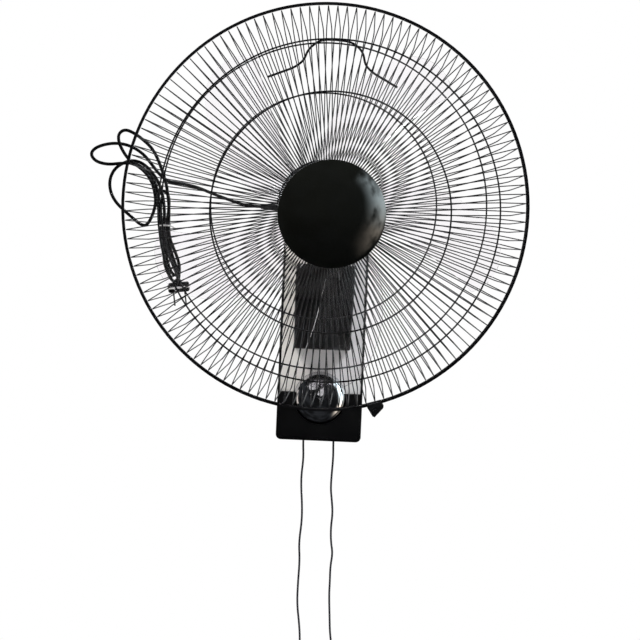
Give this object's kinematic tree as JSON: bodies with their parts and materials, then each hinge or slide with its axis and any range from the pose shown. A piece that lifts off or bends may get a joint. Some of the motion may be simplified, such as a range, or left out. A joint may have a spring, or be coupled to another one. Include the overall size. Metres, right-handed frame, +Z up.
{
  "type": "wall mounted fan",
  "caption": "Wall fan: a screwed-on base box and arm carry a tilting, swinging motor head with clear blades in a round wire guard and pull cords.",
  "frame": {"origin": "middle of the wall screw pattern, on the wall plane", "axes": "+X to the right of a viewer who faces the wall, +Y into the wall, +Z up"},
  "size_m": [0.4912, 0.3899, 0.7929],
  "materials": {
    "black_shell": "moulded black plastic, semi gloss",
    "cap_gloss": "polished black plastic",
    "silver_panel": "silver grey paint on plastic",
    "chrome_trim": "bright chrome plating on plastic",
    "clear_blade": "clear smoky plastic",
    "guard_wire": "black powder coat on steel wire",
    "zinc_steel": "zinc plated steel",
    "cast_alloy": "die cast, as cast",
    "core_steel": "stacked laminations",
    "copper_wire": "enamelled copper wire",
    "bush_bronze": "sintered bronze",
    "black_knob": "moulded black plastic, matt",
    "switch_case": "moulded plastic, matt",
    "lead_vinyl": "black vinyl cable sheath",
    "tie_white": "white coated tie",
    "pull_braid": "dark braided cord"
  },
  "bodies": {
    "root": {"wall_plate": "zinc_steel", "base_housing": "black_shell", "fascia": "silver_panel", "lower_cover": "black_shell", "chrome_dome": "chrome_trim", "speed_switch": "switch_case", "swing_switch": "switch_case", "capacitor": "black_knob", "terminal_block": "switch_case", "base_screws": "zinc_steel", "cord_eyelets": "black_knob", "arm_bracket": "zinc_steel", "bracket_bolts": "zinc_steel", "arm_cover": "black_shell", "tilt_bolt": "zinc_steel", "tilt_nut": "zinc_steel"},
    "neck": {"neck_knuckle": "black_shell", "swing_post": "zinc_steel", "thrust_washer": "switch_case", "link_pin": "zinc_steel"},
    "link": {"swing_link": "zinc_steel"},
    "head": {"swing_saddle": "cast_alloy", "post_screw": "zinc_steel", "swing_motor": "zinc_steel", "front_end_frame": "cast_alloy", "rear_end_frame": "cast_alloy", "shaft_bushes": "bush_bronze", "stator_core": "core_steel", "windings": "copper_wire", "motor_front_cover": "black_shell", "motor_rear_cover": "black_shell", "cover_screws": "zinc_steel", "lead_gland": "lead_vinyl", "mains_lead": "lead_vinyl", "lead_hank": "lead_vinyl", "mains_plug": "lead_vinyl", "lead_ties": "tie_white", "front_guard_wires": "guard_wire", "front_guard_rings": "guard_wire", "front_guard_plate": "guard_wire", "hub_cap": "cap_gloss", "rear_guard_wires": "guard_wire", "rear_guard_rings": "guard_wire", "rear_guard_plate": "guard_wire", "steady_wire": "guard_wire", "guard_nut": "black_knob", "rim_band": "guard_wire", "rim_clip": "black_knob", "rim_screw": "zinc_steel"},
    "crank": {"crank_shaft": "zinc_steel", "crank_disc": "black_knob"},
    "rotor": {"rotor_shaft": "zinc_steel", "rotor_core": "core_steel", "fan_blades": "clear_blade", "drive_pin": "zinc_steel", "spinner_nut": "black_knob"},
    "speed_pull": {"speed_pull_cord": "pull_braid", "speed_pull_bell": "black_knob"},
    "swing_pull": {"swing_pull_cord": "pull_braid", "swing_pull_bell": "black_knob"}
  },
  "joints": [
    {"name": "tilt", "type": "hinge", "parent": "root", "child": "neck", "pos_m": [0, -0.147, 0.0715], "axis": [1, 0, 0], "range_deg": [-6.8, 23.2]},
    {"name": "swing", "type": "hinge", "parent": "neck", "child": "head", "pos_m": [0, -0.14968, 0.09394], "axis": [0, -0.1184, 0.993], "range_deg": [-43.6, 36.4]},
    {"name": "link_turn", "type": "hinge", "parent": "neck", "child": "link", "pos_m": [-0.02, -0.14986, 0.09553], "axis": [0, -0.1184, 0.993], "range_deg": [-48, 40]},
    {"name": "crank_turn", "type": "hinge", "parent": "head", "child": "crank", "pos_m": [-0.0221, -0.11954, 0.11717], "axis": [0, -0.1184, 0.993], "continuous": true},
    {"name": "fan_spin", "type": "hinge", "parent": "head", "child": "rotor", "pos_m": [-0.00199, -0.28022, 0.1383], "axis": [-0.0628, 0.991, 0.1182], "continuous": true},
    {"name": "speed_pull", "type": "slide", "parent": "root", "child": "speed_pull", "axis": [0, 0, -1], "range_m": [0, 0.01], "stiffness_N_per_m": 200},
    {"name": "swing_pull", "type": "slide", "parent": "root", "child": "swing_pull", "axis": [0, 0, -1], "range_m": [0, 0.01], "stiffness_N_per_m": 200}
  ],
  "couplings": [
    {"joint": "link_turn", "follows": "swing", "ratio": 1.085}
  ]
}
